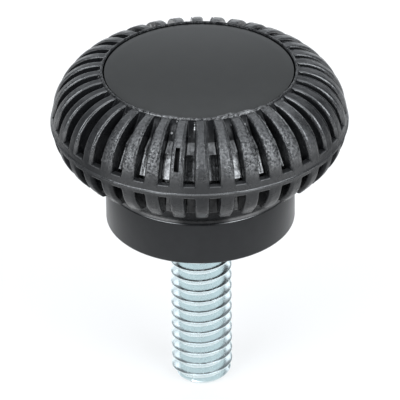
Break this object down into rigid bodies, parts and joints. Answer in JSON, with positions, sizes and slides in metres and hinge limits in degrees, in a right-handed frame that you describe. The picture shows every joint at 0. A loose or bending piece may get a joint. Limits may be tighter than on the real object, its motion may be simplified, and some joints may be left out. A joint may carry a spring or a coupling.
{
  "type": "knurled knob",
  "caption": "Round black moulded thumb knob with a ribbed grip, a smooth recessed top and a short cylindrical boss, on a male threaded steel stud.",
  "frame": {"origin": "centre of the seat face, where the boss ends and the stud leaves it", "axes": "+Z along the knob's axis, away from the stud and towards the cap; -Y is the front, where the middle of one rib faces"},
  "size_m": [0.0304, 0.0304, 0.0364],
  "materials": {
    "moulding": "satin black glass-filled nylon with a fine grain and glossy slot walls",
    "cap": "smooth satin black",
    "steel": "bright zinc plating with a cool tint"
  },
  "bodies": {
    "root": {"knob_body": "moulding", "top_cap": "cap", "threaded_stud": "steel"}
  },
  "joints": []
}
